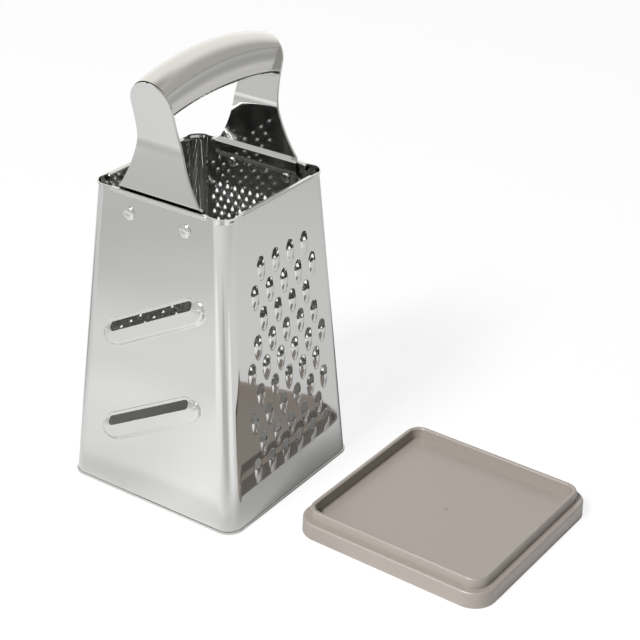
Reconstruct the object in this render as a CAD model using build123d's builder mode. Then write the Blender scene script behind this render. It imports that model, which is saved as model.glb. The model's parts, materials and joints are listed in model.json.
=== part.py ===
from build123d import *

import os
from math import atan, cos, degrees, floor, radians, sin, tan

os.makedirs("parts", exist_ok=True)

# Lengths are in millimetres and angles in degrees. The origin is the middle of
# the grater's open base, on the surface it stands on. X runs along the slicing
# wall, Y from the slicing wall to the wall behind it, and Z up.

# Body: one thin sheet wrapped into a tapered box, kept as its four walls
BODY_HEIGHT = 170.0
BASE_WIDTH = 109.8
RIM_WIDTH = 81.6
CORNER = 9.0
SHEET = 0.6
OVERRUN = 1.0

# Base hem: the sheet rolled back on itself, standing proud all round
BASE_HEM_HEIGHT = 2.9
BASE_HEM_PROUD = 0.85
BASE_HEM_ROUND = 0.4

# Rim: a rolled bead along each straight side, with a flap folded down inside
RIM_BEAD_HEIGHT = 2.6
RIM_BEAD_PROUD = 0.3
RIM_BEAD_INSIDE = 2.4
RIM_BEAD_ROUND = 0.9
RIM_BEAD_STOP = 1.0
RIM_FLAP_DEPTH = 5.5
RIM_FLAP_ROUND = 2.6

# Corner seam: one end of the sheet laps over the other inside a back corner
SEAM_LAP = 4.0

# Slicing wall: slanted slots, and below each the sheet pressed out to a blade
SLOT_LENGTH = 59.0
SLOT_GAP = 4.6
SLOT_TILT = 28.4
SLOT_SHIFT = -1.0
LOWER_BLADE = 51.5
UPPER_BLADE = 106.2
BLADE_LENGTH = 65.0
BLADE_RUN = 9.0
BLADE_RISE = 2.2

# Smooth band of wall left under the rim, above the teeth
TEETH_CLEAR = 26.0

# Coarse wall: arched windows, each over a hollow scoop
COARSE_PITCH = 12.4
COARSE_ROW_PITCH = 13.72
COARSE_FIRST_ROW = 29.4
COARSE_MARGIN = 15.5
COARSE_WIDTH = 6.2
COARSE_TOP = 2.6
COARSE_WINDOW = 4.3
COARSE_WINDOW_CHAMFER = 1.8
COARSE_RISE = 2.0
COARSE_TAIL = 7.8
COARSE_HOLLOW_AHEAD = 1.7
COARSE_HOLLOW_SINK = 0.2

# Medium wall: smaller windows and points
MEDIUM_PITCH = 8.5
MEDIUM_ROW_PITCH = 4.8
MEDIUM_FIRST_ROW = 27.0
MEDIUM_MARGIN = 12.0
MEDIUM_WIDTH = 4.2
MEDIUM_WINDOW = 2.0
MEDIUM_RISE = 1.1
MEDIUM_TAIL = 3.0

# Fine wall: the smallest windows and points
FINE_PITCH = 8.0
FINE_ROW_PITCH = 6.4
FINE_FIRST_ROW = 28.0
FINE_MARGIN = 15.5
FINE_WIDTH = 2.6
FINE_WINDOW = 1.6
FINE_RISE = 0.9
FINE_TAIL = 2.4

# Handle brackets: flared plates that step over the rim and down inside the wall,
# with their heights given above the rim
BRACKET_SHEET = 1.3
BRACKET_INSET = 0.6
BRACKET_TOP_RADIUS = 12.1
BRACKET_TOP_CENTRE = 48.5
BRACKET_FLARE_TOP = 42.0
BRACKET_FLARE_WIDTH = 52.4
BRACKET_BEND = 28.5
BRACKET_LEAN = 10.2
BRACKET_STEP_TOP = 4.5
BRACKET_STEP_FOOT = 1.0
BRACKET_BEND_ROUND = 2.0
TAB_CLEARANCE = 0.25
TAB_RETURN = 2.4
TAB_LENGTH = 20.0
TAB_CORNER = 6.0

# Rivets through the walls and the brackets' tabs
RIVET_SPACING = 36.4
RIVET_DROP = 12.7
RIVET_SHANK = 4.0
RIVET_CLEARANCE = 0.05
RIVET_HEAD = 7.6
RIVET_HEAD_RISE = 1.5
RIVET_TAIL = 5.8
RIVET_TAIL_RISE = 1.1
RIVET_EDGE = 0.3

# Grip: an arched hollow handle pressed as two halves and welded along its sides,
# with its ends' axis given above the rim
GRIP_SHEET = 0.8
GRIP_WIDTH = 24.0
GRIP_END_AXIS = 49.7
GRIP_ARCH = 6.3
GRIP_END_CROWN = 11.9
GRIP_MIDDLE_CROWN = 13.8
GRIP_END_BELLY = 9.4
GRIP_MIDDLE_BELLY = 10.1
GRIP_STATIONS = 9
GRIP_TRIM = 4.0

# Base tray: a shallow lid that plugs into the base, shown taken off beside it
TRAY_WIDTH = 113.4
TRAY_CORNER = 12.4
TRAY_HEIGHT = 8.9
TRAY_DRAFT = 1.5
TRAY_LEDGE = 3.9
TRAY_RIM_RISE = 5.5
TRAY_RIM_WALL = 2.7
TRAY_RIM_DRAFT = 4.0
TRAY_RIM_ROUND = 0.9
TRAY_EDGE_ROUND = 1.2
TRAY_RECESS = 6.7
TRAY_PANEL = 1.8
TRAY_SKIRT = 2.0
GATE_MARK = 3.0
GATE_MARK_RISE = 0.3
TRAY_X = 134.5
TRAY_Y = 24.0
TRAY_TURN = -1.4

SLOPE = (BASE_WIDTH - RIM_WIDTH) / 2 / BODY_HEIGHT
TAPER = atan(SLOPE)
WALL_LENGTH = BODY_HEIGHT / cos(TAPER)
STRAIGHT_RIM = RIM_WIDTH - 2 * CORNER - 2 * RIM_BEAD_STOP
RIVET_HEIGHT = WALL_LENGTH - RIVET_DROP


def wall_plane(outward):
    """The outer face of a wall: X across, Y up the slope from the base, Z outwards."""
    across = Vector(0, 0, 1).cross(outward)
    normal = outward * cos(TAPER) + Vector(0, 0, 1) * sin(TAPER)
    return Plane(origin=outward * (BASE_WIDTH / 2), x_dir=across, z_dir=normal)


front = wall_plane(Vector(0, -1, 0))
right = wall_plane(Vector(1, 0, 0))
rear = wall_plane(Vector(0, 1, 0))
left = wall_plane(Vector(-1, 0, 0))


def half_width(height, inset=0):
    """From the middle to a surface that lies inset inside the walls' outer faces."""
    return BASE_WIDTH / 2 - SLOPE * height - inset / cos(TAPER)


def tapered_block(inset, bottom, top):
    """The body's outline drawn in by inset, filled from one height to another."""
    with BuildPart() as block:
        with BuildSketch(Plane.XY.offset(bottom)):
            Rectangle(2 * half_width(bottom, inset), 2 * half_width(bottom, inset))
        extrude(amount=top - bottom, taper=degrees(TAPER))
        uprights = block.edges().group_by(Axis.Z)[1]
        fillet(uprights, CORNER - inset)
    return block.part


def staggered(row_pitch, first_row, pitch, margin):
    """Places on a wall's face in level rows, every second row shifted by half a pitch."""
    places = []
    rows = floor((WALL_LENGTH - TEETH_CLEAR - first_row) / row_pitch) + 1
    for row in range(rows):
        height = first_row + row * row_pitch
        shift = 0 if row % 2 else pitch / 2
        reach = half_width(height) - margin
        widest = shift + pitch * floor((reach - shift) / pitch)
        steps = round(2 * widest / pitch) + 1
        places += [(step * pitch - widest, height) for step in range(steps)]
    return places


# Body walls, before they are pressed
with BuildPart() as wrapped_sheet:
    add(tapered_block(0, 0, BODY_HEIGHT))
    add(tapered_block(SHEET, -OVERRUN, BODY_HEIGHT + OVERRUN), mode=Mode.SUBTRACT)


def side_wedge(plane):
    """The space behind one wall, up to the planes through the corners' middles."""
    reach = BASE_WIDTH + OVERRUN
    with BuildPart() as wedge:
        with BuildSketch(Plane((0, 0, 0), x_dir=plane.x_dir)):
            with BuildLine():
                Polyline((0, 0), (reach, -reach), (-reach, -reach), close=True)
            make_face()
        extrude(amount=BODY_HEIGHT)
    return wedge.part


def plain_wall(plane):
    """One side of the wrapped sheet, up to the middle of its corners, with its rolled rim."""
    rim = Plane(plane.from_local_coords((0, WALL_LENGTH, 0)), x_dir=plane.x_dir, z_dir=plane.z_dir)
    with BuildPart() as bead:
        with BuildSketch(rim.offset(-RIM_BEAD_INSIDE)):
            Rectangle(STRAIGHT_RIM, RIM_BEAD_HEIGHT, align=(Align.CENTER, Align.MAX))
        extrude(amount=RIM_BEAD_INSIDE + RIM_BEAD_PROUD)
        long_edges = bead.edges().filter_by(lambda edge: edge.length > STRAIGHT_RIM - SHEET)
        fillet(long_edges.group_by(Axis.Z)[-1], RIM_BEAD_ROUND)
    with BuildPart() as wall:
        add(wrapped_sheet.part)
        add(side_wedge(plane), mode=Mode.INTERSECT)
        add(bead.part)
        with BuildSketch(rim.offset(-RIM_BEAD_INSIDE)):
            with Locations((0, -RIM_FLAP_DEPTH / 2)):
                RectangleRounded(STRAIGHT_RIM, RIM_FLAP_DEPTH, RIM_FLAP_ROUND)
        extrude(amount=SHEET)
    return wall.part


def rivet_holes(plane):
    """The cutter for a wall's two rivet holes."""
    with BuildPart() as holes:
        with BuildSketch(plane.offset(-2 * SHEET)):
            with Locations((0, RIVET_HEIGHT)):
                with GridLocations(RIVET_SPACING, 0, 2, 1):
                    Circle(RIVET_SHANK / 2 + RIVET_CLEARANCE)
        extrude(amount=3 * SHEET)
    return holes.part


# Slicing wall
blade_places = [(SLOT_SHIFT, LOWER_BLADE), (SLOT_SHIFT, UPPER_BLADE)]
blade_locations = [Location((across, up, 0), (0, 0, SLOT_TILT)) for across, up in blade_places]


def blade_form(inset):
    """The ramp that is pressed out below a slot, drawn in by inset."""
    with BuildPart() as ramp:
        with BuildSketch(Plane.YZ):
            with BuildLine():
                Polyline(
                    (0, -inset - SHEET / 2),
                    (0, BLADE_RISE - inset),
                    (-BLADE_RUN, -inset),
                    (-BLADE_RUN, -inset - SHEET / 2),
                    close=True,
                )
            make_face()
        extrude(amount=BLADE_LENGTH, both=True)
        with BuildSketch():
            SlotOverall(BLADE_LENGTH - 2 * inset, 2 * (BLADE_RUN - inset))
        extrude(amount=BLADE_RISE + SHEET, both=True, mode=Mode.INTERSECT)
    return ramp.part


with BuildPart() as slicer_wall:
    add(plain_wall(front))
    with Locations(front):
        with Locations(*blade_locations):
            add(blade_form(0))
            add(blade_form(SHEET), mode=Mode.SUBTRACT)
    with BuildSketch(front):
        with Locations(*blade_locations):
            with Locations((0, SLOT_GAP / 2)):
                SlotOverall(SLOT_LENGTH, SLOT_GAP)
    extrude(amount=2 * SHEET, both=True, mode=Mode.SUBTRACT)
    add(rivet_holes(front), mode=Mode.SUBTRACT)
slicer_wall.part.label = "slicer_wall"
export_step(slicer_wall.part, "parts/slicer_wall.step")


# Coarse wall
def point(width, top, rise, tail, depth):
    """A wedge with its mouth on the X axis, narrowing to a tail on the face."""
    with BuildPart() as wedge:
        with BuildSketch(Plane.YZ):
            with BuildLine():
                Polyline((0, -depth), (0, rise), (-tail, 0), (-tail, -depth), close=True)
            make_face()
        extrude(amount=width / 2, both=True)
        for side in (-1, 1):
            along = Vector(side * width / 2, tail, 0)
            upwards = Vector(side * (top - width) / 2, 0, rise)
            cheek = Plane(origin=(0, -tail, 0), z_dir=along.cross(upwards) * side)
            split(bisect_by=cheek, keep=Keep.BOTTOM)
    return wedge.part


scoop_shell = point(COARSE_WIDTH, COARSE_TOP, COARSE_RISE, COARSE_TAIL, SHEET / 2)
scoop_hollow = point(COARSE_WIDTH, COARSE_TOP, COARSE_RISE, COARSE_TAIL, 2 * SHEET)

with BuildPart() as coarse_window:
    with BuildSketch(Plane.XY.offset(-2 * SHEET)) as opening:
        Rectangle(COARSE_WIDTH, COARSE_WINDOW, align=(Align.CENTER, Align.MIN))
        chamfer(opening.vertices().group_by(Axis.Y)[-1], COARSE_WINDOW_CHAMFER)
    extrude(amount=3 * SHEET)

coarse_places = staggered(COARSE_ROW_PITCH, COARSE_FIRST_ROW, COARSE_PITCH, COARSE_MARGIN)
with BuildPart() as coarse_wall:
    add(plain_wall(right))
    with Locations(right):
        with Locations(*coarse_places):
            add(scoop_shell)
            with Locations((0, COARSE_HOLLOW_AHEAD, -COARSE_HOLLOW_SINK)):
                add(scoop_hollow, mode=Mode.SUBTRACT)
            add(coarse_window.part, mode=Mode.SUBTRACT)
coarse_wall.part.label = "coarse_wall"
export_step(coarse_wall.part, "parts/coarse_wall.step")


# Medium wall
def window(width, height):
    """A pointed window's cutter, standing on the X axis."""
    with BuildPart() as cutter:
        with BuildSketch(Plane.XY.offset(-2 * SHEET)):
            with BuildLine():
                Polyline((-width / 2, 0), (width / 2, 0), (0, height), close=True)
            make_face()
        extrude(amount=3 * SHEET)
    return cutter.part


medium_places = staggered(MEDIUM_ROW_PITCH, MEDIUM_FIRST_ROW, MEDIUM_PITCH, MEDIUM_MARGIN)
with BuildPart() as medium_wall:
    add(plain_wall(rear))
    with Locations(rear):
        with Locations(*medium_places):
            add(point(MEDIUM_WIDTH, 0, MEDIUM_RISE, MEDIUM_TAIL, SHEET / 2))
            add(window(MEDIUM_WIDTH, MEDIUM_WINDOW), mode=Mode.SUBTRACT)
    add(rivet_holes(rear), mode=Mode.SUBTRACT)
medium_wall.part.label = "medium_wall"
export_step(medium_wall.part, "parts/medium_wall.step")

# Fine wall, with the lap of the seam inside its rear corner
fine_places = staggered(FINE_ROW_PITCH, FINE_FIRST_ROW, FINE_PITCH, FINE_MARGIN)
with BuildPart() as seam_lap:
    add(tapered_block(SHEET, 0, BODY_HEIGHT))
    add(tapered_block(2 * SHEET, -OVERRUN, BODY_HEIGHT + OVERRUN), mode=Mode.SUBTRACT)
    add(side_wedge(left), mode=Mode.INTERSECT)
    with BuildSketch(left):
        with BuildLine():
            Polyline(
                (CORNER + SEAM_LAP - half_width(0), -OVERRUN),
                (CORNER + SEAM_LAP - half_width(BODY_HEIGHT), WALL_LENGTH - RIM_BEAD_HEIGHT),
                (-BASE_WIDTH, WALL_LENGTH - RIM_BEAD_HEIGHT),
                (-BASE_WIDTH, -OVERRUN),
                close=True,
            )
        make_face()
    extrude(amount=CORNER, both=True, mode=Mode.INTERSECT)

with BuildPart() as fine_wall:
    add(plain_wall(left))
    add(seam_lap.part)
    with Locations(left):
        with Locations(*fine_places):
            add(point(FINE_WIDTH, 0, FINE_RISE, FINE_TAIL, SHEET / 2))
            add(window(FINE_WIDTH, FINE_WINDOW), mode=Mode.SUBTRACT)
fine_wall.part.label = "fine_wall"
export_step(fine_wall.part, "parts/fine_wall.step")

# Base hem
with BuildPart() as base_hem:
    add(tapered_block(-BASE_HEM_PROUD, 0, BASE_HEM_HEIGHT))
    fillet(base_hem.faces().sort_by(Axis.Z)[-1].edges(), BASE_HEM_ROUND)
    add(tapered_block(0, -OVERRUN, BASE_HEM_HEIGHT + OVERRUN), mode=Mode.SUBTRACT)
base_hem.part.label = "base_hem"
export_step(base_hem.part, "parts/base_hem.step")

# Handle brackets
tab_inset = RIM_BEAD_INSIDE + TAB_CLEARANCE
return_top = BODY_HEIGHT - RIM_FLAP_DEPTH - TAB_CLEARANCE
return_foot = return_top - TAB_RETURN
lean_slope = tan(radians(BRACKET_LEAN))
bracket_face = RIM_WIDTH / 2 - BRACKET_INSET
step_foot = BODY_HEIGHT + BRACKET_STEP_FOOT
step_top = BODY_HEIGHT + BRACKET_STEP_TOP
bend = BODY_HEIGHT + BRACKET_BEND
flare_top = BODY_HEIGHT + BRACKET_FLARE_TOP
top_centre = BODY_HEIGHT + BRACKET_TOP_CENTRE
bracket_top = top_centre + BRACKET_TOP_RADIUS + OVERRUN
tab_foot = BODY_HEIGHT - TAB_LENGTH

with BuildPart() as front_bracket:
    with BuildSketch(Plane.YZ):
        with BuildLine():
            outer = FilletPolyline(
                (-half_width(tab_foot, SHEET), tab_foot),
                (-half_width(return_foot, SHEET), return_foot),
                (-half_width(return_top, tab_inset), return_top),
                (-half_width(step_foot, tab_inset), step_foot),
                (-bracket_face, step_top),
                (-bracket_face, bend),
                (-bracket_face - lean_slope * (bracket_top - bend), bracket_top),
                radius=BRACKET_BEND_ROUND,
            )
            offset(outer, amount=BRACKET_SHEET, side=Side.RIGHT)
        make_face()
    extrude(amount=BRACKET_FLARE_WIDTH / 2, both=True)
    with BuildSketch(Plane.XZ) as outline:
        neck = BRACKET_TOP_RADIUS
        flare = BRACKET_FLARE_WIDTH / 2
        with BuildLine():
            ThreePointArc((-neck, top_centre), (0, top_centre + neck), (neck, top_centre))
            for side in (-1, 1):
                Line((side * neck, top_centre), (side * neck, flare_top))
                TangentArc((side * neck, flare_top), (side * flare, BODY_HEIGHT), tangent=(0, -1))
                Line((side * flare, BODY_HEIGHT), (side * flare, tab_foot))
            Line((-flare, tab_foot), (flare, tab_foot))
        make_face()
        fillet(outline.vertices().group_by(Axis.Y)[0], TAB_CORNER)
    extrude(amount=BASE_WIDTH, both=True, mode=Mode.INTERSECT)
    with BuildSketch(front):
        with Locations((0, RIVET_HEIGHT)):
            with GridLocations(RIVET_SPACING, 0, 2, 1):
                Circle(RIVET_SHANK / 2 + RIVET_CLEARANCE)
    extrude(amount=BASE_HEM_HEIGHT, both=True, mode=Mode.SUBTRACT)
front_bracket.part.label = "front_bracket"
export_step(front_bracket.part, "parts/front_bracket.step")

with BuildPart() as rear_bracket:
    mirror(front_bracket.part, about=Plane.XZ)
rear_bracket.part.label = "rear_bracket"
export_step(rear_bracket.part, "parts/rear_bracket.step")

# Rivets
clamped = SHEET + BRACKET_SHEET
with BuildPart() as rivet_form:
    with BuildSketch():
        Circle(RIVET_HEAD / 2)
    extrude(amount=RIVET_HEAD_RISE)
    chamfer(rivet_form.faces().sort_by(Axis.Z)[-1].edges(), RIVET_HEAD_RISE - RIVET_EDGE)
    with BuildSketch():
        Circle(RIVET_SHANK / 2)
    extrude(amount=-clamped)
    with BuildSketch(Plane.XY.offset(-clamped)):
        Circle(RIVET_TAIL / 2)
    extrude(amount=-RIVET_TAIL_RISE)
    chamfer(rivet_form.faces().sort_by(Axis.Z)[0].edges(), RIVET_TAIL_RISE - RIVET_EDGE)

for wall_name, plane in (("front", front), ("rear", rear)):
    for hand, side in (("left", -1), ("right", 1)):
        with BuildPart() as rivet:
            with Locations(plane):
                with Locations((side * RIVET_SPACING / 2, RIVET_HEIGHT)):
                    add(rivet_form.part)
        rivet.part.label = f"{wall_name}_rivet_{hand}"
        export_step(rivet.part, f"parts/{wall_name}_rivet_{hand}.step")

# Grip
grip_reach = bracket_face + lean_slope * (GRIP_END_AXIS - BRACKET_BEND)
crown_growth = GRIP_MIDDLE_CROWN - GRIP_END_CROWN
belly_growth = GRIP_MIDDLE_BELLY - GRIP_END_BELLY


def grip_half(side, end_height, growth):
    """The upper (side 1) or lower (side -1) shell, a half tube bowed up along the grip."""
    with BuildPart() as shell:
        step = 2 * (grip_reach + GRIP_TRIM) / (GRIP_STATIONS - 1)
        for station in range(GRIP_STATIONS):
            along = station * step - grip_reach - GRIP_TRIM
            bow = 1 - (along / grip_reach) ** 2
            height = end_height + growth * bow
            with BuildSketch(Plane.XZ.offset(-along)):
                with BuildLine():
                    middle = (0, BODY_HEIGHT + GRIP_END_AXIS + GRIP_ARCH * bow)
                    start = 0 if side > 0 else 180
                    outer = EllipticalCenterArc(
                        middle, GRIP_WIDTH / 2, height, start_angle=start, arc_size=180
                    )
                    inner = EllipticalCenterArc(
                        middle,
                        GRIP_WIDTH / 2 - GRIP_SHEET,
                        height - GRIP_SHEET,
                        start_angle=start,
                        arc_size=180,
                    )
                    Line(outer @ 0, inner @ 0)
                    Line(outer @ 1, inner @ 1)
                make_face()
        loft()
        for end in (-1, 1):
            lean = radians(BRACKET_LEAN)
            butt = Plane(
                origin=(0, end * bracket_face, bend), z_dir=(0, end * cos(lean), -sin(lean))
            )
            split(bisect_by=butt.offset(-BRACKET_SHEET), keep=Keep.BOTTOM)
    return shell.part


for label, side, end_height, growth in (
    ("grip_top", 1, GRIP_END_CROWN, crown_growth),
    ("grip_bottom", -1, GRIP_END_BELLY, belly_growth),
):
    with BuildPart() as grip:
        add(grip_half(side, end_height, growth))
    grip.part.label = label
    export_step(grip.part, f"parts/{label}.step")

# Base tray
tray_plane = Plane((TRAY_X, TRAY_Y, 0), x_dir=(cos(radians(TRAY_TURN)), sin(radians(TRAY_TURN)), 0))
rim_width = TRAY_WIDTH - 2 * TRAY_LEDGE
well_width = rim_width - 2 * TRAY_RIM_WALL
tray_top = TRAY_HEIGHT + TRAY_RIM_RISE
floor_height = tray_top - TRAY_RECESS
inner_width = TRAY_WIDTH - 2 * TRAY_SKIRT

with BuildPart() as base_tray:
    with BuildSketch(tray_plane):
        RectangleRounded(TRAY_WIDTH, TRAY_WIDTH, TRAY_CORNER)
    extrude(amount=TRAY_HEIGHT, taper=TRAY_DRAFT)
    fillet(base_tray.faces().sort_by(Axis.Z)[-1].edges(), TRAY_EDGE_ROUND)
    with BuildSketch(tray_plane.offset(TRAY_HEIGHT)):
        RectangleRounded(rim_width, rim_width, TRAY_CORNER - TRAY_LEDGE)
    extrude(amount=TRAY_RIM_RISE, taper=TRAY_RIM_DRAFT)
    with BuildSketch(tray_plane.offset(tray_top)):
        RectangleRounded(well_width, well_width, TRAY_CORNER - TRAY_LEDGE - TRAY_RIM_WALL)
    extrude(amount=-TRAY_RECESS, taper=TRAY_DRAFT, mode=Mode.SUBTRACT)
    fillet(base_tray.faces().sort_by(Axis.Z)[-1].edges(), TRAY_RIM_ROUND)
    with BuildSketch(tray_plane):
        RectangleRounded(inner_width, inner_width, TRAY_CORNER - TRAY_SKIRT)
    extrude(amount=floor_height - TRAY_PANEL, taper=TRAY_DRAFT, mode=Mode.SUBTRACT)
    with BuildSketch(tray_plane.offset(floor_height)):
        Circle(GATE_MARK / 2)
    extrude(amount=GATE_MARK_RISE)
base_tray.part.label = "base_tray"
export_step(base_tray.part, "parts/base_tray.step")
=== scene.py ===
"""Looks of the box grater: polished walls, satin grip, plastic tray, and the studio round them."""

import json
from math import atan, cos, exp, floor, pi, radians, sin, sqrt, tan

import bpy
from mathutils import Matrix, Vector
from mathutils.geometry import delaunay_2d_cdt

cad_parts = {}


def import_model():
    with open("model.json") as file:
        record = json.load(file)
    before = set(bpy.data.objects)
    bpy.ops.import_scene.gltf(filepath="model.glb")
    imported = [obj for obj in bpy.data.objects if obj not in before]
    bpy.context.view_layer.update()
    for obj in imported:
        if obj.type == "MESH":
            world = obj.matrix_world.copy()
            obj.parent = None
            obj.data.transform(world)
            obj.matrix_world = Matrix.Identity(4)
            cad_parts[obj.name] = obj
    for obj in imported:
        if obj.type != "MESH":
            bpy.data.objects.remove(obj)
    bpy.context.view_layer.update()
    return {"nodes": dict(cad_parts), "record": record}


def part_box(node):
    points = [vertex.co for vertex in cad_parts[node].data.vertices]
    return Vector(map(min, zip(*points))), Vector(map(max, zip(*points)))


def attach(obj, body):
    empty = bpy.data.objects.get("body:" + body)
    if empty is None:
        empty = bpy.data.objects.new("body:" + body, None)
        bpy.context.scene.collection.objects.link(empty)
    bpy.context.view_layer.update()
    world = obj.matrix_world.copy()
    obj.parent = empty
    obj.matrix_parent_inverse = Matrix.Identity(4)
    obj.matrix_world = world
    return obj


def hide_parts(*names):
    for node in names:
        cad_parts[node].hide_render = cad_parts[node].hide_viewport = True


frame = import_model()

MM = 0.001

# Camera, fitted to the photograph's edges
VIEW_AZIMUTH = radians(33.579)
VIEW_ELEVATION = radians(27.999)
VIEW_ROLL = radians(1.552)
VIEW_DISTANCE = 863.7 * MM
VIEW_RIGHT = 57.50 * MM
VIEW_UP = -4.06 * MM
VIEW_HEIGHT = 92.73 * MM
LENS = 92.0
SENSOR = 36.0
NEAREST_SEEN = 0.01
FARTHEST_SEEN = 100

# Materials: linear colours, the scale and detail of their noises, the lowest and highest
# roughness, and the strength and depth of the bump
STEEL = (0.53, 0.53, 0.523, 1)
STEEL_SMUDGE = (60, 4)
STEEL_ROUGHNESS = (0.035, 0.075)
STEEL_WAVE = (18, 2)
STEEL_BUMP = (0.015, 0.4 * MM)
SATIN = (0.53, 0.525, 0.503, 1)
SATIN_BRUSHING = (900, 6, (1, 0.04, 1))
SATIN_ROUGHNESS = (0.13, 0.22)
SATIN_BUMP = (0.08, 0.05 * MM)
TAUPE = (0.295, 0.262, 0.233, 1)
TAUPE_IOR = 1.6
TAUPE_GRAIN = (2500, 3)
TAUPE_ROUGHNESS = (0.3, 0.42)
TAUPE_BUMP = (0.05, 0.05 * MM)
NOISE_LOW = 0.3
NOISE_HIGH = 0.7

# Studio: the floor's and the sky's brightness, seen straight and in reflections. Each pool on the
# floor is painted into the floor's colour where the steel mirrors it: a painted pool of light where
# its share is positive, a painted shadow where it is negative. A pool has a middle and radii in
# metres, a turn, a core and its share of brightness. Each patch of sky has a heading, the cosines
# at which it starts and is full, and its share. The key light has an azimuth, an elevation, a
# distance, a size and a power.
FLOOR_REACH = 1.5
FLOOR_GAP = 0.05 * MM
FLOOR_CORNER_STEPS = 6
FLOOR_GLOW = 1.0
FLOOR_SHADOW = 0.125
# Painted shade under the grater: the covered floor's grey colour, and its painted glow seen
# straight and in reflections
FLOOR_COVERED_PAINTED_SHADE = (0.5, 0.5, 0.49, 1)
FLOOR_COVERED_PAINTED_GLOW = 0.05
FLOOR_COVERED_PAINTED_GLOW_MIRRORED = 0.15
FLOOR_MIRRORED = 0.84
# Painted light and shade on the mirrored floor: the middle, radii, turn, core and share of each
# pool
FLOOR_PAINTED_POOLS = (
    ((-0.12, -0.28), (0.26, 0.24), 0, 0.3, 0.12),
    ((-0.10, -0.12), (0.10, 0.09), 0, 0.3, 0.14),
    ((-0.31, -0.46), (0.30, 0.20), radians(53), 0.5, -0.22),
    ((-0.28, -0.02), (0.22, 0.06), 0, 0.3, -0.35),
    ((0.36, 0.2), (0.34, 0.6), 0, 0.3, 0.2),
    ((0.007, -0.25), (0.30, 0.09), radians(80), 0.5, 0.22),
    ((0.16, -0.25), (0.30, 0.07), radians(-60), 0.5, -0.22),
    ((0.24, -0.14), (0.24, 0.055), radians(-27), 0.4, 0.32),
    ((0.075, 0.0), (0.05, 0.09), 0, 0.3, -0.36),
    ((0, -0.068), (0.09, 0.018), 0, 0.4, -0.15),
)
SKY_TINT = (1, 0.99, 0.955, 1)
SKY_SEEN = 1.05
SKY_DIFFUSE = 0.11
SKY_MIRRORED = 0.86
SKY_PATCHES = (
    ((0, 0, 1), 0.84, 0.97, -0.45),
    ((-0.6, 0.62, 0.45), 0.5, 0.85, 0.5),
    ((0.6, 0.7, 0.3), 0.6, 0.95, -0.2),
    ((-0.45, -0.85, -0.2), 0.7, 0.95, 0.1),
)
LIGHT_TARGET = Vector((0.03, 0, 0.08))
KEY = (radians(-8), radians(47), 3.4, (0.8, 0.8), 162)


# Materials

def new_material(name):
    material = bpy.data.materials.new(name)
    material.use_nodes = True
    nodes = material.node_tree.nodes
    return material, nodes, material.node_tree.links, nodes["Principled BSDF"]


def noise(nodes, links, scale, detail, stretch=(1, 1, 1)):
    """A noise in the object's own space, drawn out along the axes with a small stretch."""
    place = nodes.new("ShaderNodeTexCoord")
    mapping = nodes.new("ShaderNodeMapping")
    mapping.inputs["Scale"].default_value = stretch
    texture = nodes.new("ShaderNodeTexNoise")
    texture.inputs["Scale"].default_value = scale
    texture.inputs["Detail"].default_value = detail
    links.new(place.outputs["Object"], mapping.inputs["Vector"])
    links.new(mapping.outputs["Vector"], texture.inputs["Vector"])
    return texture.outputs["Fac"]


def spread(nodes, links, value, low, high):
    """A noise's usual range laid out between low and high."""
    ramp = nodes.new("ShaderNodeMapRange")
    ramp.inputs["From Min"].default_value = NOISE_LOW
    ramp.inputs["From Max"].default_value = NOISE_HIGH
    ramp.inputs["To Min"].default_value = low
    ramp.inputs["To Max"].default_value = high
    links.new(value, ramp.inputs["Value"])
    return ramp.outputs["Result"]


def bump(nodes, links, shader, value, strength, distance):
    node = nodes.new("ShaderNodeBump")
    node.inputs["Strength"].default_value = strength
    node.inputs["Distance"].default_value = distance
    links.new(value, node.inputs["Height"])
    links.new(node.outputs["Normal"], shader.inputs["Normal"])


def polished_steel():
    material, nodes, links, shader = new_material("polished_steel")
    shader.inputs["Base Color"].default_value = STEEL
    shader.inputs["Metallic"].default_value = 1
    smudge = noise(nodes, links, *STEEL_SMUDGE)
    links.new(spread(nodes, links, smudge, *STEEL_ROUGHNESS), shader.inputs["Roughness"])
    wave = noise(nodes, links, *STEEL_WAVE)
    bump(nodes, links, shader, wave, *STEEL_BUMP)
    return material


def satin_steel():
    material, nodes, links, shader = new_material("satin_steel")
    shader.inputs["Base Color"].default_value = SATIN
    shader.inputs["Metallic"].default_value = 1
    brushed = noise(nodes, links, *SATIN_BRUSHING)
    links.new(spread(nodes, links, brushed, *SATIN_ROUGHNESS), shader.inputs["Roughness"])
    bump(nodes, links, shader, brushed, *SATIN_BUMP)
    return material


def taupe_plastic():
    material, nodes, links, shader = new_material("taupe_plastic")
    shader.inputs["Base Color"].default_value = TAUPE
    shader.inputs["IOR"].default_value = TAUPE_IOR
    grain = noise(nodes, links, *TAUPE_GRAIN)
    links.new(spread(nodes, links, grain, *TAUPE_ROUGHNESS), shader.inputs["Roughness"])
    bump(nodes, links, shader, grain, *TAUPE_BUMP)
    return material


# Body, in millimetres. Each wall is drawn in the front wall's place and then turned about Z.
# On a wall, u runs across, v up the slope from the base and w outwards.
TURNS = {"slicer_wall": 0, "coarse_wall": pi / 2, "medium_wall": pi, "fine_wall": 3 * pi / 2}
BODY_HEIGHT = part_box("slicer_wall")[1].z / MM
BASE_HALF = 54.9
RIM_HALF = 42.2
CORNER = 9.0
SHEET = 0.6
SLOPE = (BASE_HALF - RIM_HALF) / BODY_HEIGHT
TAPER = atan(SLOPE)
WALL_LENGTH = BODY_HEIGHT / cos(TAPER)
CORNER_STEPS = 14
SLIVER = 1e-9

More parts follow.
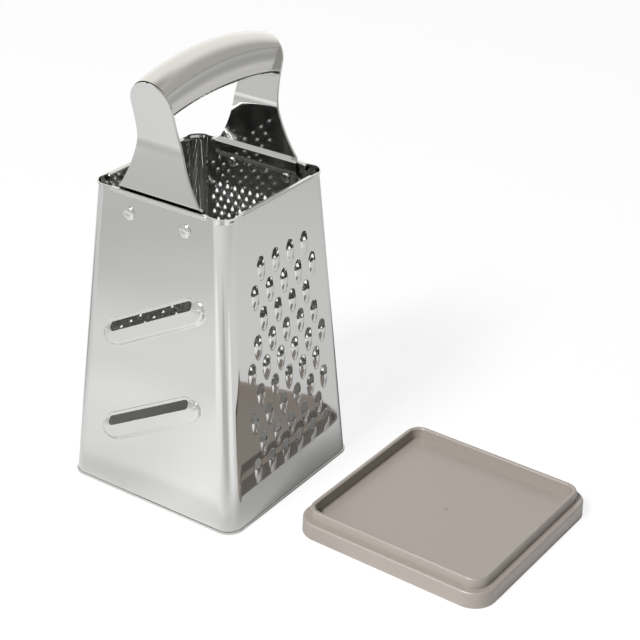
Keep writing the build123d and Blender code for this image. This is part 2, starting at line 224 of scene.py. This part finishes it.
LIP_DEPTH = 3.2
LIP_FLARE = 0.8
LIP_FULLNESS = 2.2
LIP_STEPS = 8
BEAD_LENGTH = 61.6
BEAD_HEIGHT = 2.6
BEAD_PROUD = 0.5
BEAD_INSIDE = 2.4
BEAD_SQUARENESS = 0.62
BEAD_STEPS = 28
BEAD_END_STEPS = 8
FLAP_DEPTH = 5.5
FLAP_ROUND = 2.6
FLAP_STEPS = 8
SEAM_LAP = 4.0
SEAM_STEPS = 20

HEM_HEIGHT = 1.5
HEM_PROUD = 0.6
HEM_ROUND = 0.45
HEM_GROOVE = 0.3
HEM_GROOVE_DEPTH = 1.0
HEM_STEPS = 6

RIVET_SPACING = 35.2
RIVET_DROP = 11.2
RIVET_HOLE = 2.05
RIVET_HEAD = (3.8, 1.5)
RIVET_HEAD_STEPS = (40, 12)
RIVET_TAIL = (2.9, 1.1)
RIVET_TAIL_STEPS = (32, 8)

# Handle: heights are given above the rim, and each half of the grip has its rise at the ends
# and what the middle adds
PLATE_SHEET = 1.3
PLATE_INSET = 0.6
PLATE_FLARE = 26.0
PLATE_NECK = 12.3
PLATE_FLARE_TOP = 42.0
PLATE_TOP_CENTRE = 49.6
PLATE_BEND = 28.5
PLATE_LEAN = tan(radians(14.7))
PLATE_STEP_TOP = 1.5
PLATE_STEP_FOOT = -0.3
PLATE_TAB_INSET = 2.7
PLATE_TAB = 20.0
PLATE_TAB_CORNER = 6.0
PLATE_ROUNDS = (0.8, 0.8, 0.5, 0.7, 3.5)
PLATE_STRETCH = 1.5
PLATE_STEPS = 24
GRIP_HALF = 12.0
GRIP_AXIS = 50.7
GRIP_ARCH = 4.9
GRIP_CROWN = (11.9, 1.9)
GRIP_BELLY = (9.4, 0.7)
GRIP_SEAM = 1.8
GRIP_SEAM_WIDTH = 0.14
GRIP_STEPS = (64, 48)

SLOT_PLACES = ((-1.0, 51.5), (-1.0, 106.2))
SLOT_LENGTH = 59.0
SLOT_GAP = 4.6
SLOT_TILT = radians(28.4)
BLADE_RUN = 9.0
BLADE_RISE = 1.7
BLADE_STEP = 0.28
BLADE_STEP_SHARE = 0.72
SLOT_BROW = 2.0
SLOT_BROW_SINK = 0.35
SLOT_BLEND = 0.75
SLOT_STEPS = (160, 12)

# Teeth: a wall's rows have their pitch, the first one's height, the pitch along them, the margin
# at their ends and a shift aside. A tooth has its width, its window's height, how far its lip
# rises and its length below the window.
TEETH_CLEAR = 26.0
TAIL_NARROWING = 0.97
TAIL_START = 0.2
TOOTH_FLATNESS = 3
ARCH_FULLNESS = 0.8
BAND_WIDTH = 0.8
BAND_ROLL = 0.7
BAND_SWEEP = 0.5
TEETH = {
    "coarse_wall": {
        "rows": (13.72, 29.0, 12.4, 16.5, 1.5),
        "tooth": (5.8, 5.0, 1.15, 8.0),
        "fineness": (20, 24),
    },
    "medium_wall": {
        "rows": (4.4, 27.0, 5.0, 12.0, 0),
        "tooth": (1.8, 2.5, 0.6, 1.7),
        "fineness": (8, 5),
    },
    "fine_wall": {
        "rows": (6.4, 28.0, 8.0, 15.5, 0),
        "tooth": (2.6, 1.6, 0.9, 2.4),
        "fineness": (8, 5),
    },
}


class Surface:
    """A piece's surface, gathered stretch by stretch, with points shared where stretches meet."""

    def __init__(self):
        self.index = {}
        self.points = []
        self.faces = []
        self.normals = []

    def corner(self, place):
        key = tuple(round(value, 3) for value in place)
        if key not in self.index:
            self.index[key] = len(self.points)
            self.points.append(Vector(place))
        return self.index[key]

    def face(self, places, normals):
        corners = [self.corner(place) for place in places]
        kept = [i for i, corner in enumerate(corners) if corner != corners[i - 1]]
        if len(kept) > 2:
            self.faces.append([corners[i] for i in kept])
            self.normals.append([normals[i] for i in kept])

    def flat(self, places, normal):
        self.face(places, [normal] * len(places))

    def grid(self, form, columns, rows):
        """The stretch form(s, t), facing the side that s crossed with t points to."""
        cells = [[(form(s, t), slant(form, s, t)) for s in columns] for t in rows]
        for low, high in zip(cells, cells[1:]):
            for i in range(len(columns) - 1):
                ring = (low[i], low[i + 1], high[i + 1], high[i])
                self.face([place for place, _ in ring], [normal for _, normal in ring])

    def stamp(self, other, place):
        """Another surface, drawn on the flat, set down on the wall at a place."""
        shift = Vector((*place, 0))
        for face, normals in zip(other.faces, other.normals):
            places = [on_wall(other.points[i] + shift) for i in face]
            self.face(places, [off_wall(normal) for normal in normals])

    def thicken(self, depth):
        """Adds the back, depth behind the front, and closes the open edges between the two."""
        leans = [Vector() for _ in self.points]
        edges = set()
        for face, normals in zip(self.faces, self.normals):
            for i, corner in enumerate(face):
                leans[corner] += normals[i]
                edges.add((face[i - 1], corner))
        front = [point.copy() for point in self.points]
        back = [point - lean.normalized() * depth for point, lean in zip(front, leans)]
        for face, normals in list(zip(self.faces, self.normals)):
            self.face([back[i] for i in reversed(face)], [-n for n in reversed(normals)])
        for start, end in edges:
            if (end, start) not in edges:
                ring = [front[end], front[start], back[start], back[end]]
                across = (ring[1] - ring[0]).cross(ring[3] - ring[0])
                if across.length:
                    self.flat(ring, across.normalized())

    def piece(self, name, turn=0):
        """The surface as an object in metres, turned about Z."""
        rotation = Matrix.Rotation(turn, 3, "Z")
        mesh = bpy.data.meshes.new(name)
        mesh.from_pydata([rotation @ point * MM for point in self.points], [], self.faces)
        mesh.shade_smooth()
        mesh.normals_split_custom_set([rotation @ n for normals in self.normals for n in normals])
        thing = bpy.data.objects.new(name, mesh)
        bpy.context.scene.collection.objects.link(thing)
        return thing


def slant(form, s, t, step=1e-3):
    """The normal of form(s, t), from the points beside it."""
    across = form(min(s + step, 1), t) - form(max(s - step, 0), t)
    along = form(s, min(t + step, 1)) - form(s, max(t - step, 0))
    return across.cross(along).normalized()


def shares(count):
    return [i / count for i in range(count + 1)]


def ease(share):
    share = min(max(share, 0), 1)
    return share * share * (3 - 2 * share)


def half_width(z):
    return BASE_HALF - SLOPE * z


def off_wall(lean):
    u, v, w = lean
    return Vector((u, v * sin(TAPER) - w * cos(TAPER), v * cos(TAPER) + w * sin(TAPER)))


def on_wall(place):
    return off_wall(place) - Vector((0, BASE_HALF, 0))


def round_corner(angle, z, outset):
    """A point of the wrapped outline at a height, on the corner arc that an angle falls in."""
    middle = half_width(z) - CORNER
    side = 1 if angle > 3 * pi / 2 else -1
    reach = CORNER + outset
    return Vector((side * middle + reach * cos(angle), reach * sin(angle) - middle, z))


def tooth(width, window, rise, tail, across, along):
    """A scoop pressed out under a window, and the outline of the two on the wall."""
    def scoop_form(s, t):
        side = 2 * s - 1
        below = 1 - t
        half = width / 2 * sqrt(1 - TAIL_NARROWING * below * below)
        fall = ease((below - TAIL_START) / (1 - TAIL_START))
        swell = rise * (1 - fall) * (1 - abs(side) ** TOOTH_FLATNESS)
        return Vector((side * half, -below * tail, swell))

    scoop = Surface()
    scoop.grid(scoop_form, shares(across), shares(along))
    right = [scoop_form(1, t) for t in shares(along)]
    left = [scoop_form(0, t) for t in reversed(shares(along))]
    foot = [scoop_form(s, 0) for s in shares(across)[1:-1]]
    turns = [pi * i / across for i in range(1, across)]
    arch = [Vector((width / 2 * cos(a), window * sin(a) ** ARCH_FULLNESS, 0)) for a in turns]
    inner = right + arch + left + foot
    outer = band(scoop, inner, width / 2)
    return scoop, [(place.x, place.y) for place in outer]


def band(scoop, inner, reach):
    """The sheet close round a tooth: rolled into its window, and swept up to its scoop."""
    up = Vector((0, 0, 1))
    outer, leans = [], []
    for i, place in enumerate(inner):
        ahead = inner[(i + 1) % len(inner)] - inner[i - 1]
        away = Vector((ahead.y, -ahead.x, 0)).normalized()
        share = ease((place.y + reach / 2) / reach)
        outer.append(place + away * BAND_WIDTH)
        leans.append((away * (BAND_SWEEP * (1 - share) - BAND_ROLL * share) + up).normalized())
    for i in range(len(inner)):
        j = (i + 1) % len(inner)
        scoop.face([inner[j], inner[i], outer[i], outer[j]], [leans[j], leans[i], up, up])
    return outer


def staggered(row_pitch, first_row, pitch, margin, aside):
    """Places in level rows, every second row shifted by half a pitch."""
    places = []
    for row in range(floor((WALL_LENGTH - TEETH_CLEAR - first_row) / row_pitch) + 1):
        height = first_row + row * row_pitch
        shift = 0 if row % 2 else pitch / 2
        reach = half_width(height) - margin
        widest = shift + pitch * floor((reach - shift) / pitch)
        steps = round(2 * widest / pitch) + 1
        places += [(step * pitch - widest + aside, height) for step in range(steps)]
    return places


def slot_rim(s):
    """A point on a slot's edge and the way out from it, once round from the lower left."""
    radius = SLOT_GAP / 2
    straight = SLOT_LENGTH - SLOT_GAP
    length = 2 * straight + 2 * pi * radius
    walked = s * length
    for middle, heading in ((straight / 2, -pi / 2), (-straight / 2, pi / 2)):
        side = 1 if middle > 0 else -1
        if walked <= straight:
            return Vector((side * (walked - straight / 2), -side * radius)), Vector((0, -side))
        walked -= straight
        if walked <= pi * radius:
            out = Vector((cos(heading + walked / radius), sin(heading + walked / radius)))
            return Vector((middle, 0)) + out * radius, out
        walked -= pi * radius
    return Vector((-straight / 2, -radius)), Vector((0, -1))


def slot_form(place):
    """The sheet round a slot, pressed out to a blade below it and dipped above it."""
    def form(s, t):
        edge, out = slot_rim(s)
        below = ease((SLOT_BLEND - out.y) / SLOT_BLEND / 2)
        away = 1 - t
        reach = SLOT_BROW + (BLADE_RUN - SLOT_BROW) * below
        rise = BLADE_RISE * below - SLOT_BROW_SINK * (1 - below)
        flat = edge + out * reach * away + Vector((0, SLOT_GAP / 2))
        flat.rotate(Matrix.Rotation(SLOT_TILT, 2))
        climb = BLADE_STEP_SHARE * ease(t / BLADE_STEP) + (1 - BLADE_STEP_SHARE) * t
        return on_wall((flat.x + place[0], flat.y + place[1], rise * climb))
    return form


def slot_outline(place, columns):
    form = slot_form(place)
    outline = []
    for s in columns[:-1]:
        point = form(s, 0) + Vector((0, BASE_HALF, 0))
        outline.append((point.x, point.y * sin(TAPER) + point.z * cos(TAPER)))
    return outline


def circle(middle, radius, steps=24):
    turns = [2 * pi * i / steps for i in range(steps)]
    return [(middle[0] + radius * cos(a), middle[1] + radius * sin(a)) for a in turns]


def flat_sheet(wall, outline, holes):
    """The flat of a wall between its outline and its holes."""
    points = [Vector(place) for place in outline]
    rings = [list(range(len(points)))]
    for hole in holes:
        rings.append(list(range(len(points), len(points) + len(hole))))
        points += [Vector(place) for place in hole]
    found = delaunay_2d_cdt(points, [], rings, 1, 1e-5)
    for triangle, inside in zip(found[2], found[5]):
        if inside == [0]:
            wall.flat([on_wall((*found[0][i], 0)) for i in triangle], off_wall((0, 0, 1)))


def corner_lip(angle, z):
    """How far the corner's top edge is turned out."""
    rise = ease((z - BODY_HEIGHT + LIP_DEPTH) / LIP_DEPTH)
    middle = ease(LIP_FULLNESS * (1 - abs(abs(angle - 3 * pi / 2) - pi / 4) / (pi / 4)))
    return LIP_FLARE * rise * middle


def signed_power(value, power):
    return abs(value) ** power * (1 if value > 0 else -1)


def rim_bead(wall):
    """The rim rolled inwards along the wall's straight stretch, with rounded ends."""
    thick = (BEAD_PROUD + BEAD_INSIDE) / 2
    tall = BEAD_HEIGHT / 2

    def bead(s, t):
        along = (2 * s - 1) * BEAD_LENGTH / 2
        over = max(abs(along) - BEAD_LENGTH / 2 + tall, 0) / tall
        swell = sqrt(max(1 - over * over, 0))
        turn = 2 * pi * t
        out = thick * swell * signed_power(cos(turn), BEAD_SQUARENESS)
        up = tall * swell * signed_power(sin(turn), BEAD_SQUARENESS)
        return on_wall((along, WALL_LENGTH - tall + up, BEAD_PROUD - thick + out))

    tip = tall / BEAD_LENGTH
    ends = [tip * (1 - cos(pi / 2 * share)) for share in shares(BEAD_END_STEPS)]
    columns = ends + [1 - end for end in reversed(ends)]
    wall.grid(bead, columns, shares(BEAD_STEPS))


def plate(wall, outline, near, far):
    """A flat plate of a given outline between two depths on the wall."""
    wall.flat([on_wall((*place, near)) for place in outline], off_wall((0, 0, 1)))
    wall.flat([on_wall((*place, far)) for place in reversed(outline)], off_wall((0, 0, -1)))
    for start, end in zip(outline, outline[1:] + outline[:1]):
        edge = off_wall((end[1] - start[1], start[0] - end[0], 0)).normalized()
        ring = [(*start, far), (*end, far), (*end, near), (*start, near)]
        wall.flat([on_wall(place) for place in ring], edge)


def rim_flap(wall):
    """The flap under the bead that lies down inside the wall."""
    half = BEAD_LENGTH / 2 - FLAP_ROUND
    foot = WALL_LENGTH - FLAP_DEPTH + FLAP_ROUND
    outline = [(half + FLAP_ROUND, WALL_LENGTH - BEAD_HEIGHT / 2)]
    outline.append((-half - FLAP_ROUND, WALL_LENGTH - BEAD_HEIGHT / 2))
    for side in (-1, 1):
        for share in shares(FLAP_STEPS):
            turn = pi + pi / 2 * share if side < 0 else 3 * pi / 2 + pi / 2 * share
            outline.append((side * half + FLAP_ROUND * cos(turn), foot + FLAP_ROUND * sin(turn)))
    plate(wall, outline, SHEET - BEAD_INSIDE, -BEAD_INSIDE)


def body_wall(name):
    wall = Surface()
    holes = []
    if name in TEETH:
        facts = TEETH[name]
        scoop, outline = tooth(*facts["tooth"], *facts["fineness"])
        for u, v in staggered(*facts["rows"]):
            wall.stamp(scoop, (u, v))
            holes.append([(u + x, v + y) for x, y in outline])
    if name == "slicer_wall":
        columns = shares(SLOT_STEPS[0])
        for place in SLOT_PLACES:
            wall.grid(slot_form(place), columns, shares(SLOT_STEPS[1]))
            holes.append(slot_outline(place, columns))
    if name in ("slicer_wall", "medium_wall"):
        for side in (-1, 1):
            holes.append(circle((side * RIVET_SPACING / 2, WALL_LENGTH - RIVET_DROP), RIVET_HOLE))

    heights = [0] + [BODY_HEIGHT - LIP_DEPTH * (1 - share) for share in shares(LIP_STEPS)]
    levels = [z / BODY_HEIGHT for z in heights]
    sides = [(half_width(z) - CORNER, z / cos(TAPER)) for z in heights]
    outline = sides + [(-u, v) for u, v in reversed(sides)]
    flat_sheet(wall, outline, holes)
    for start in (5 * pi / 4, 3 * pi / 2):
        def corner(s, t):
            angle = start + s * pi / 4
            flat_end = 3 * pi / 2
            if abs(angle - flat_end) < 1e-6:
                angle = flat_end + (SLIVER if start == flat_end else -SLIVER)
            z = t * BODY_HEIGHT
            return round_corner(angle, z, corner_lip(angle, z))
        wall.grid(corner, shares(CORNER_STEPS), levels)
    wall.thicken(SHEET)
    rim_bead(wall)
    rim_flap(wall)
    if name == "fine_wall":
        seam_lap(wall)
    return wall.piece(name + "_sheet", TURNS[name])


def seam_lap(wall):
    """The sheet's other end, lapped inside a rear corner."""
    lap = Surface()
    top = BODY_HEIGHT - BEAD_HEIGHT

    def inner(s, t):
        z = t * top
        if s < 0.5:
            return round_corner(5 * pi / 4 + s * pi / 2 - SLIVER, z, -SHEET)
        return round_corner(3 * pi / 2 - SLIVER, z, -SHEET) + Vector((SEAM_LAP * (2 * s - 1), 0, 0))

    lap.grid(inner, shares(SEAM_STEPS), (0, 1))
    lap.thicken(SHEET)
    for face, normals in zip(lap.faces, lap.normals):
        wall.face([lap.points[i] for i in face], normals)


def base_hem():
    """The hem rolled round the base, with a fine groove between its top and the walls."""
    turns = [pi / 2 * (1 - share) for share in shares(HEM_STEPS)]
    foot = [(HEM_PROUD - HEM_ROUND * (1 - cos(a)), HEM_ROUND * (1 - sin(a))) for a in turns]
    rounded = [
        (HEM_PROUD - HEM_ROUND * (1 - sin(a)), HEM_HEIGHT - HEM_ROUND * (1 - cos(a)))
        for a in turns
    ]
    groove_foot = HEM_HEIGHT - HEM_GROOVE_DEPTH
    groove = [(HEM_GROOVE, HEM_HEIGHT - HEM_ROUND / 2), (HEM_GROOVE, groove_foot), (0, groove_foot)]
    profile = [(0, 0)] + foot + rounded + groove
    ring = Surface()
    for quarter in range(4):
        turn = Matrix.Rotation(quarter * pi / 2, 3, "Z")
        angles = [5 * pi / 4 + pi / 4 * share for share in shares(CORNER_STEPS)]
        angles += [3 * pi / 2 + SLIVER + pi / 4 * share for share in shares(CORNER_STEPS)]
        angles[CORNER_STEPS] -= SLIVER
        for (out_low, z_low), (out_high, z_high) in zip(profile, profile[1:]):
            lean_out, lean_up = z_high - z_low, out_low - out_high
            for left, right in zip(angles, angles[1:]):
                places = [(left, z_low, out_low), (right, z_low, out_low),
                          (right, z_high, out_high), (left, z_high, out_high)]
                normals = []
                for angle, _, _ in places:
                    out = Vector((cos(angle), sin(angle), 0))
                    normals.append(turn @ (out * lean_out + Vector((0, 0, lean_up))).normalized())
                ring.face([turn @ round_corner(*place) for place in places], normals)
    return ring.piece("base_hem_roll")


# Handle and rivets

def rivet(side):
    """A rivet's domed head outside the wall and its clenched tail inside."""
    middle = (side * RIVET_SPACING / 2, WALL_LENGTH - RIVET_DROP)

    def button(facing, radius, rise, seat):
        def dome(s, t):
            turn = 2 * pi * s * facing
            reach = radius * cos(pi / 2 * t)
            height = seat + facing * rise * sin(pi / 2 * t)
            return on_wall((middle[0] + reach * cos(turn), middle[1] + reach * sin(turn), height))
        return dome

    studs = Surface()
    studs.grid(button(1, *RIVET_HEAD, 0), *map(shares, RIVET_HEAD_STEPS))
    studs.grid(button(-1, *RIVET_TAIL, -SHEET - PLATE_SHEET), *map(shares, RIVET_TAIL_STEPS))
    return studs


def softened(path, reaches, steps=6):
    """A bent path with each corner rounded off over its own reach."""
    points = [Vector(path[0])]
    for before, corner, after, reach in zip(path, path[1:], path[2:], reaches):
        before, corner, after = Vector(before), Vector(corner), Vector(after)
        start = corner + (before - corner).normalized() * reach
        end = corner + (after - corner).normalized() * reach
        for share in shares(steps):
            near = start.lerp(corner, share)
            points.append(near.lerp(corner.lerp(end, share), share))
    return points + [Vector(path[-1])]


def plate_half(height):
    """Half the width of a handle plate at a height above the rim."""
    flare = PLATE_FLARE - PLATE_NECK
    bow = (PLATE_FLARE_TOP ** 2 + flare ** 2) / 2 / flare
    if height > PLATE_TOP_CENTRE:
        return sqrt(max(PLATE_NECK ** 2 - (height - PLATE_TOP_CENTRE) ** 2, 0))
    if height > PLATE_FLARE_TOP:
        return PLATE_NECK
    if height > 0:
        return PLATE_NECK + bow - sqrt(bow * bow - (PLATE_FLARE_TOP - height) ** 2)
    low = max(PLATE_TAB_CORNER - PLATE_TAB - height, 0)
    return PLATE_FLARE - PLATE_TAB_CORNER + sqrt(max(PLATE_TAB_CORNER ** 2 - low * low, 0))


def plate_face(height):
    """How far out a handle plate's outer face stands at a height above the rim."""
    leant_out = PLATE_LEAN * max(height - PLATE_BEND, 0)
    return RIM_HALF - PLATE_INSET - SLOPE * min(height, PLATE_BEND) + leant_out


def handle_plate():
    """A flared plate that steps over the rim and runs down inside the wall."""
    top = PLATE_TOP_CENTRE + PLATE_NECK
    foot, turn_in = -PLATE_TAB, -FLAP_DEPTH - PLATE_TAB_INSET
    path = softened([
        (half_width(BODY_HEIGHT + foot) - SHEET, foot),
        (half_width(BODY_HEIGHT + turn_in) - SHEET, turn_in),
        (RIM_HALF - PLATE_TAB_INSET, -FLAP_DEPTH),
        (RIM_HALF - PLATE_TAB_INSET, PLATE_STEP_FOOT),
        (plate_face(PLATE_STEP_TOP), PLATE_STEP_TOP),
        (plate_face(PLATE_BEND), PLATE_BEND),
        (plate_face(top), top),
    ], PLATE_ROUNDS)
    stops = []
    for start, end in zip(path, path[1:]):
        count = max(round((end - start).length / PLATE_STRETCH), 1)
        stops += [start.lerp(end, i / count) for i in range(count)]
    stops = [stop for stop in stops if stop.y < PLATE_TOP_CENTRE]
    for share in shares(PLATE_STEPS):
        height = PLATE_TOP_CENTRE + PLATE_NECK * sin(pi / 2 * share)
        stops.append(Vector((plate_face(height), height)))

    def sheet(s, t):
        place = t * (len(stops) - 1)
        low = min(floor(place), len(stops) - 2)
        out, height = stops[low].lerp(stops[low + 1], place - low)
        return Vector(((2 * s - 1) * plate_half(height), -out, BODY_HEIGHT + height))

    plate_sheet = Surface()
    plate_sheet.grid(sheet, shares(PLATE_STEPS), shares(len(stops) - 1))
    plate_sheet.thicken(PLATE_SHEET)
    return plate_sheet


def grip_half(upper):
    """One pressed half of the arched grip, rolled in along the seam."""
    end, growth = GRIP_CROWN if upper else GRIP_BELLY

    def shell(s, t):
        along = 1 - 2 * t
        bow = 1 - along * along
        turn = pi * s if upper else pi * (s + 1)
        seam = exp(-((1 - abs(cos(turn))) / GRIP_SEAM_WIDTH) ** 2)
        tuck = 1 - GRIP_SEAM / GRIP_HALF * seam
        height = GRIP_AXIS + GRIP_ARCH * bow + (end + growth * bow) * sin(turn)
        reach = plate_face(height) - PLATE_SHEET
        return Vector((GRIP_HALF * cos(turn) * tuck, along * reach, BODY_HEIGHT + height))

    half = Surface()
    half.grid(shell, *map(shares, GRIP_STEPS))
    return half


# Studio

def camera():
    back = Vector((
        sin(VIEW_AZIMUTH) * cos(VIEW_ELEVATION),
        -cos(VIEW_AZIMUTH) * cos(VIEW_ELEVATION),
        sin(VIEW_ELEVATION),
    ))
    right = Vector((cos(VIEW_AZIMUTH), sin(VIEW_AZIMUTH), 0))
    up = back.cross(right)
    place = back * VIEW_DISTANCE + right * VIEW_RIGHT + up * VIEW_UP + Vector((0, 0, VIEW_HEIGHT))
    rolled_right = cos(VIEW_ROLL) * right + sin(VIEW_ROLL) * up
    rolled_up = -sin(VIEW_ROLL) * right + cos(VIEW_ROLL) * up
    data = bpy.data.cameras.new("camera")
    data.lens = LENS
    data.sensor_width = SENSOR
    data.clip_start = NEAREST_SEEN
    data.clip_end = FARTHEST_SEEN
    eye = bpy.data.objects.new("camera", data)
    turn = Matrix((rolled_right, rolled_up, back)).transposed().to_4x4()
    eye.matrix_world = Matrix.Translation(place) @ turn
    bpy.context.scene.collection.objects.link(eye)
    bpy.context.scene.camera = eye


def painted_pool(nodes, links, middle, radii, turn, core):
    """The mask of one painted pool of light and shade on the floor: 1 inside an ellipse and 0
    outside it, with a soft edge.
    """
    place = nodes.new("ShaderNodeTexCoord")
    mapping = nodes.new("ShaderNodeMapping")
    mapping.vector_type = "TEXTURE"
    mapping.inputs["Location"].default_value = (*middle, 0)
    mapping.inputs["Rotation"].default_value = (0, 0, turn)
    mapping.inputs["Scale"].default_value = (*radii, 1)
    ball = nodes.new("ShaderNodeTexGradient")
    ball.gradient_type = "SPHERICAL"
    edge = nodes.new("ShaderNodeMapRange")
    edge.interpolation_type = "SMOOTHSTEP"
    edge.inputs["From Max"].default_value = 1 - core
    links.new(place.outputs["Object"], mapping.inputs["Vector"])
    links.new(mapping.outputs["Vector"], ball.inputs["Vector"])
    links.new(ball.outputs["Fac"], edge.inputs["Value"])
    return edge.outputs["Result"]


def add_share(nodes, links, base, value, share):
    """base + value * share, where base is a number or a socket."""
    node = nodes.new("ShaderNodeMath")
    node.operation = "MULTIPLY_ADD"
    links.new(value, node.inputs[0])
    node.inputs[1].default_value = share
    if isinstance(base, float):
        node.inputs[2].default_value = base
    else:
        links.new(base, node.inputs[2])
    return node.outputs[0]


def floor_mesh():
    """The floor. Its last face fills the grater's base, out to the middle of the sheet."""
    reach = FLOOR_REACH
    points = [(-reach, -reach, 0), (reach, -reach, 0), (reach, reach, 0), (-reach, reach, 0)]
    middle = (BASE_HALF - CORNER) * MM
    inner = (CORNER - SHEET / 2) * MM
    steps = FLOOR_CORNER_STEPS
    around = []
    for quarter, (right, front) in enumerate(((-1, -1), (1, -1), (1, 1), (-1, 1))):
        first = len(points)
        for share in shares(steps):
            turn = pi + (quarter + share) * pi / 2
            x = right * middle + inner * cos(turn)
            y = front * middle + inner * sin(turn)
            points.append((x, y, 0))
        around += [(quarter, i + 1, i) for i in range(first, first + steps)]
        after = (quarter + 1) % 4
        around.append((quarter, after, 4 + (steps + 1) * after, first + steps))
    mesh = bpy.data.meshes.new("floor")
    mesh.from_pydata(points, [], around + [tuple(range(4, len(points)))])
    mesh.materials.append(open_floor())
    # The second material is the covered floor's painted shade and painted glow, on the face under
    # the grater
    mesh.materials.append(covered_floor_painted_shade_and_glow())
    mesh.polygons[len(around)].material_index = 1
    return mesh


def open_floor():
    """White and softly shadowed where it is seen, with painted pools of light and shade in its
    colour where it is mirrored.
    """
    material, nodes, links, shader = new_material("floor")
    nodes.remove(shader)
    # The mirrored floor's colour: an even grey with the painted pools of light and shade added
    mirrored = FLOOR_MIRRORED
    for *shape, share in FLOOR_PAINTED_POOLS:
        mirrored = add_share(nodes, links, mirrored, painted_pool(nodes, links, *shape), share)
    # Painted light and shade: the pooled colour, shown only to rays that are not camera rays
    painted_pools_floor = nodes.new("ShaderNodeBsdfDiffuse")
    links.new(mirrored, painted_pools_floor.inputs["Color"])
    lit = nodes.new("ShaderNodeBsdfDiffuse")
    lit.inputs["Color"].default_value = (1, 1, 1, 1)
    glow = nodes.new("ShaderNodeEmission")
    glow.inputs["Strength"].default_value = FLOOR_GLOW
    seen = nodes.new("ShaderNodeMixShader")
    seen.inputs["Fac"].default_value = FLOOR_SHADOW
    links.new(glow.outputs[0], seen.inputs[1])
    links.new(lit.outputs[0], seen.inputs[2])
    path = nodes.new("ShaderNodeLightPath")
    either = nodes.new("ShaderNodeMixShader")
    links.new(path.outputs["Is Camera Ray"], either.inputs["Fac"])
    links.new(painted_pools_floor.outputs[0], either.inputs[1])
    links.new(seen.outputs[0], either.inputs[2])
    links.new(either.outputs[0], nodes["Material Output"].inputs["Surface"])
    return material


def covered_floor_painted_shade_and_glow():
    """The floor inside the grater's base, painted grey as shade, with a faint painted glow that is
    stronger in reflections than where it is seen straight.
    """
    material, nodes, links, shader = new_material("covered_floor_painted_shade_and_glow")
    shader.inputs["Base Color"].default_value = FLOOR_COVERED_PAINTED_SHADE
    shader.inputs["Emission Color"].default_value = (1, 1, 1, 1)
    straight = nodes.new("ShaderNodeLightPath").outputs["Is Camera Ray"]
    less = FLOOR_COVERED_PAINTED_GLOW - FLOOR_COVERED_PAINTED_GLOW_MIRRORED
    strength = add_share(nodes, links, FLOOR_COVERED_PAINTED_GLOW_MIRRORED, straight, less)
    links.new(strength, shader.inputs["Emission Strength"])
    return material


def studio_floor():
    ground = bpy.data.objects.new("floor", floor_mesh())
    ground.location.z = -FLOOR_GAP
    bpy.context.scene.collection.objects.link(ground)


def area_light(name, azimuth, elevation, distance, size, power):
    """A soft light that looks at the grater from an azimuth, counted from -Y towards +X."""
    data = bpy.data.lights.new(name, "AREA")
    data.shape = "RECTANGLE"
    data.size, data.size_y = size
    data.energy = power
    lamp = bpy.data.objects.new(name, data)
    out = Vector((sin(azimuth) * cos(elevation), -cos(azimuth) * cos(elevation), sin(elevation)))
    lamp.location = LIGHT_TARGET + out * distance
    lamp.rotation_euler = (-out).to_track_quat("-Z", "Y").to_euler()
    bpy.context.scene.collection.objects.link(lamp)


def facing(nodes, links, heading, start, end):
    """1 where the sky lies towards a heading and 0 away from it."""
    place = nodes.new("ShaderNodeTexCoord")
    dot = nodes.new("ShaderNodeVectorMath")
    dot.operation = "DOT_PRODUCT"
    dot.inputs[1].default_value = Vector(heading).normalized()
    edge = nodes.new("ShaderNodeMapRange")
    edge.interpolation_type = "SMOOTHSTEP"
    edge.inputs["From Min"].default_value = start
    edge.inputs["From Max"].default_value = end
    links.new(place.outputs["Generated"], dot.inputs[0])
    links.new(dot.outputs["Value"], edge.inputs["Value"])
    return edge.outputs["Result"]


def world():
    space = bpy.data.worlds.new("studio")
    space.use_nodes = True
    bpy.context.scene.world = space
    nodes = space.node_tree.nodes
    links = space.node_tree.links
    background = nodes["Background"]
    background.inputs["Color"].default_value = SKY_TINT
    mirrored = SKY_MIRRORED
    for *shape, share in SKY_PATCHES:
        mirrored = add_share(nodes, links, mirrored, facing(nodes, links, *shape), share)
    path = nodes.new("ShaderNodeLightPath")
    either = nodes.new("ShaderNodeMix")
    either.inputs["A"].default_value = SKY_DIFFUSE
    links.new(path.outputs["Is Glossy Ray"], either.inputs["Factor"])
    links.new(mirrored, either.inputs["B"])
    shown = nodes.new("ShaderNodeMix")
    shown.inputs["B"].default_value = SKY_SEEN
    links.new(path.outputs["Is Camera Ray"], shown.inputs["Factor"])
    links.new(either.outputs["Result"], shown.inputs["A"])
    links.new(shown.outputs["Result"], background.inputs["Strength"])


camera()
studio_floor()
world()
area_light("key", *KEY)

scene = bpy.context.scene
scene.view_settings.view_transform = "Standard"

looks = {
    "polished_steel": polished_steel(),
    "satin_steel": satin_steel(),
    "taupe_plastic": taupe_plastic(),
}
pieces = {name: body_wall(name) for name in TURNS}
pieces["base_hem"] = base_hem()
for end, turn in (("front", 0), ("rear", pi)):
    pieces[end + "_bracket"] = handle_plate().piece(end + "_plate", turn)
    for hand, side in (("left", -1), ("right", 1)):
        pieces[f"{end}_rivet_{hand}"] = rivet(side).piece(f"{end}_stud_{hand}", turn)
pieces["grip_top"] = grip_half(True).piece("grip_upper")
pieces["grip_bottom"] = grip_half(False).piece("grip_lower")
slots = {subpart["node"]: subpart["material_slot"] for subpart in frame["record"]["subparts"]}
for name, piece in pieces.items():
    piece.data.materials.append(looks[slots[name]])
    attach(piece, "grater")
    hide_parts(name)
for name, look in slots.items():
    for slot in frame["nodes"][name].material_slots:
        slot.material = looks[look]
